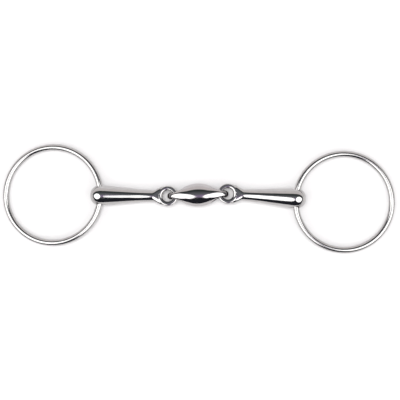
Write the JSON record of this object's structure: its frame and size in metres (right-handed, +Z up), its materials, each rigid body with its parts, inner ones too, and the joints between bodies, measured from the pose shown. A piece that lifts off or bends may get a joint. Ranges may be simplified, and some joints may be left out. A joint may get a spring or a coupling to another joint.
{
  "type": "loose ring snaffle bit",
  "caption": "Loose-ring snaffle bit for a horse's bridle: tapered arms hinged to a lozenge centre link, with a ring running through each arm's outer end.",
  "frame": {"origin": "middle of the base of the box round the whole bit, on the surface it lies on, under the centre link", "axes": "+X along the mouthpiece from the left ring to the right ring, +Y along the ring holes, +Z up from the surface"},
  "size_m": [0.2694, 0.0718, 0.014],
  "materials": {
    "link_steel": "mirror-polished stainless steel with fine handling marks",
    "arm_steel": "mirror-polished stainless steel with fine handling marks",
    "ring_steel": "bright polished drawn stainless wire, slightly scuffed where it runs in the arm"
  },
  "bodies": {
    "centre_link": {"centre_link": "link_steel"},
    "left_arm": {"left_arm": "arm_steel"},
    "right_arm": {"right_arm": "arm_steel"},
    "left_ring": {"left_ring": "ring_steel"},
    "right_ring": {"right_ring": "ring_steel"}
  },
  "joints": [
    {"name": "left_arm_fold", "type": "hinge", "parent": "centre_link", "child": "left_arm", "pos_m": [-0.0204, 0.0011, 0.00705], "axis": [0, 0, 1], "range_deg": [-57, 63]},
    {"name": "right_arm_fold", "type": "hinge", "parent": "centre_link", "child": "right_arm", "pos_m": [0.02054, 0.00328, 0.00705], "axis": [0, 0, 1], "range_deg": [-54, 66]},
    {"name": "left_ring_swing", "type": "hinge", "parent": "left_arm", "child": "left_ring", "pos_m": [-0.0669, 0.0009, 0.00705], "axis": [-0.0044, 1, 0], "range_deg": [-116, 124]},
    {"name": "right_ring_swing", "type": "hinge", "parent": "right_arm", "child": "right_ring", "pos_m": [0.06698, 0.00089, 0.00705], "axis": [-0.0515, -0.9987, 0], "range_deg": [-116, 124]}
  ]
}
